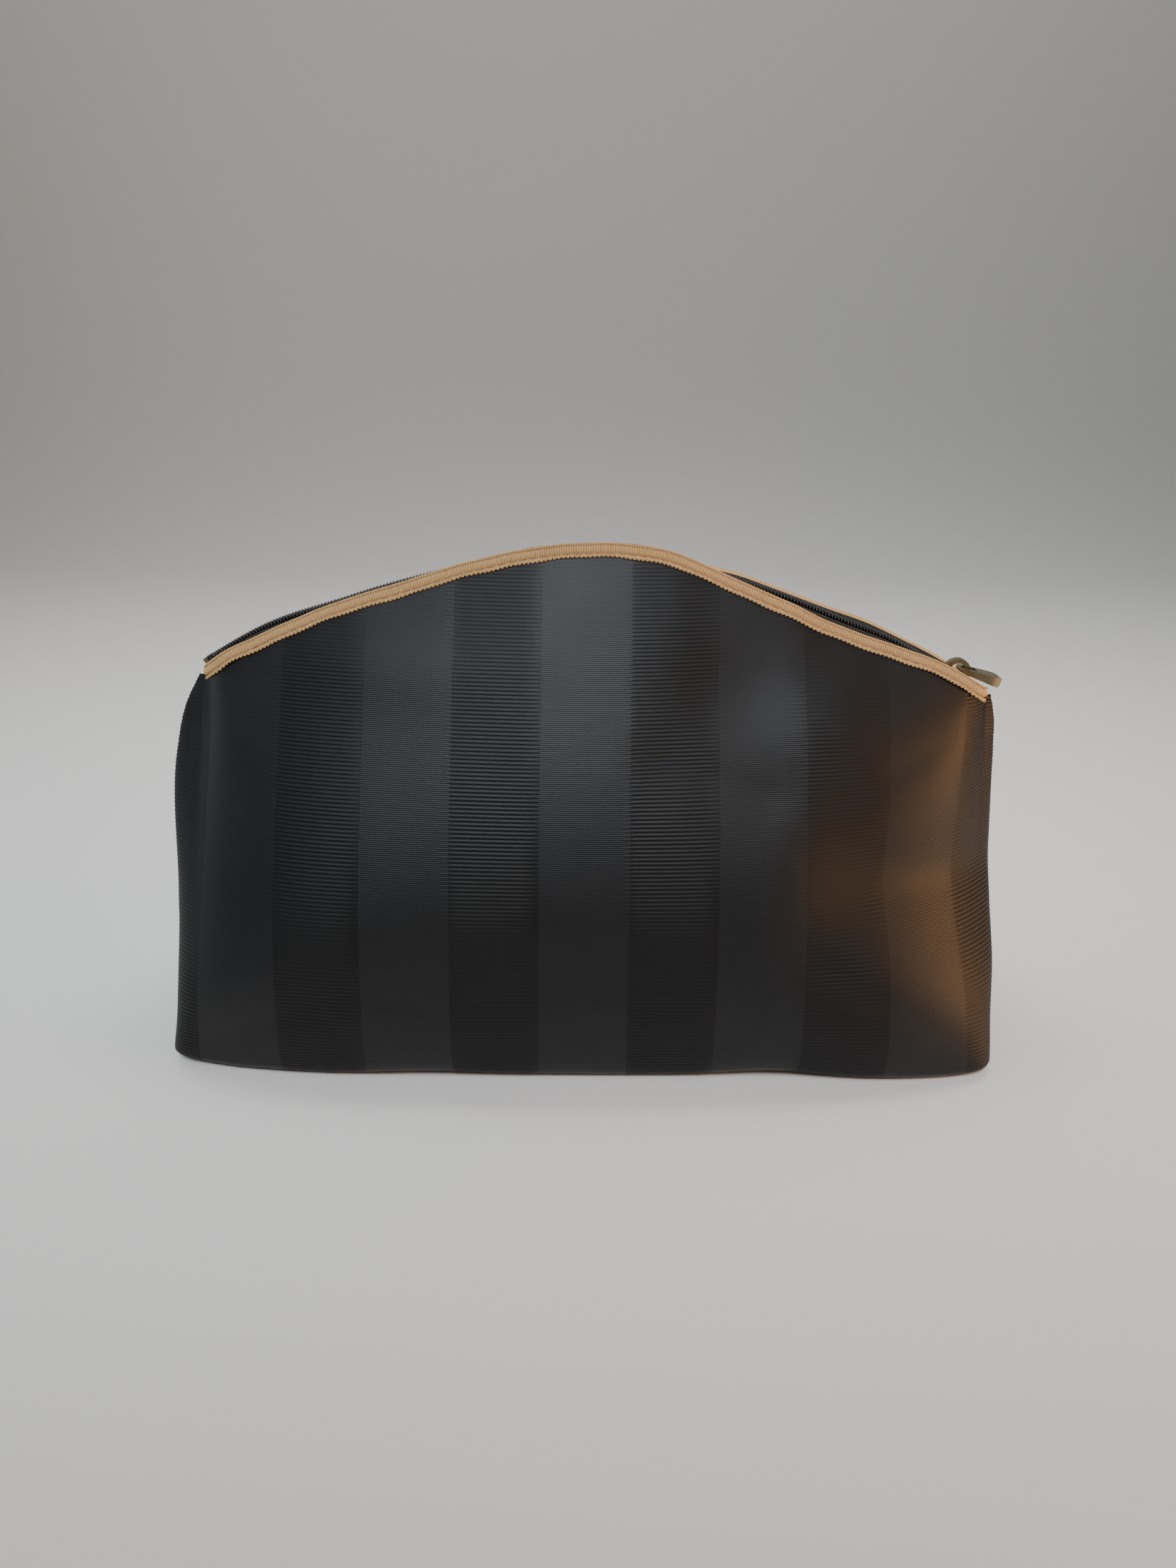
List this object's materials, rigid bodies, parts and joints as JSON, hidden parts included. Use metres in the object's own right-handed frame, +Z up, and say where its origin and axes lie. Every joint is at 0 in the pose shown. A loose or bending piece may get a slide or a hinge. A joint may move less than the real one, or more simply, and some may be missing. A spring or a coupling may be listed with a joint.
{
  "type": "makeup bag",
  "caption": "Soft zip-top makeup bag with a domed mouth, ribbon-bound edges, a coil zip with a sliding pull, and a boxed base that it stands on.",
  "frame": {"origin": "middle of the base, on the surface the bag stands on", "axes": "+X along the bag's width towards the closed end of the zip, +Y towards the back, +Z up"},
  "size_m": [0.2465, 0.1034, 0.1499],
  "materials": {
    "outer_cloth": "semi-gloss coated jacquard",
    "lining_cloth": "matt woven",
    "ribbon": "grosgrain",
    "zip_tape": "matt woven",
    "seam_tape": "matt woven",
    "coil": "gloss nylon",
    "thread": "matt",
    "brass": "polished antique",
    "stop_metal": "satin antique"
  },
  "bodies": {
    "bag": {"front_panel": "outer_cloth", "back_panel": "outer_cloth", "front_lining": "lining_cloth", "back_lining": "lining_cloth", "left_seam_tape": "seam_tape", "right_seam_tape": "seam_tape", "base_seam_tape": "seam_tape", "left_corner_seam_tape": "seam_tape", "right_corner_seam_tape": "seam_tape", "tail_stop": "stop_metal"},
    "front_mouth": {"front_binding": "ribbon", "front_zip_tape": "zip_tape", "front_coil": "coil", "front_binding_thread": "thread", "front_zip_thread": "thread", "front_end_stop": "stop_metal"},
    "back_mouth": {"back_binding": "ribbon", "back_zip_tape": "zip_tape", "back_coil": "coil", "back_binding_thread": "thread", "back_zip_thread": "thread", "back_end_stop": "stop_metal"},
    "zip_slider": {"slider": "brass"},
    "zip_puller": {"puller": "brass"}
  },
  "joints": [
    {"name": "slider_travel", "type": "hinge", "parent": "bag", "child": "zip_slider", "pos_m": [-0.005, 0, -0.0575], "axis": [0, -1, 0], "range_deg": [0, 64.3]},
    {"name": "puller_swing", "type": "hinge", "parent": "zip_slider", "child": "zip_puller", "pos_m": [0.11153, 0, 0.11419], "axis": [0, -1, 0], "range_deg": [0, 140]},
    {"name": "front_mouth_opening", "type": "hinge", "parent": "bag", "child": "front_mouth", "pos_m": [0, 0, 0.098], "axis": [1, 0, 0], "range_deg": [0, 25], "deforming": ["front_panel", "front_lining", "front_zip_tape", "front_coil"]},
    {"name": "back_mouth_opening", "type": "hinge", "parent": "bag", "child": "back_mouth", "pos_m": [0, 0, 0.098], "axis": [-1, 0, 0], "range_deg": [0, 25], "deforming": ["back_panel", "back_lining", "back_zip_tape", "back_coil"]}
  ]
}
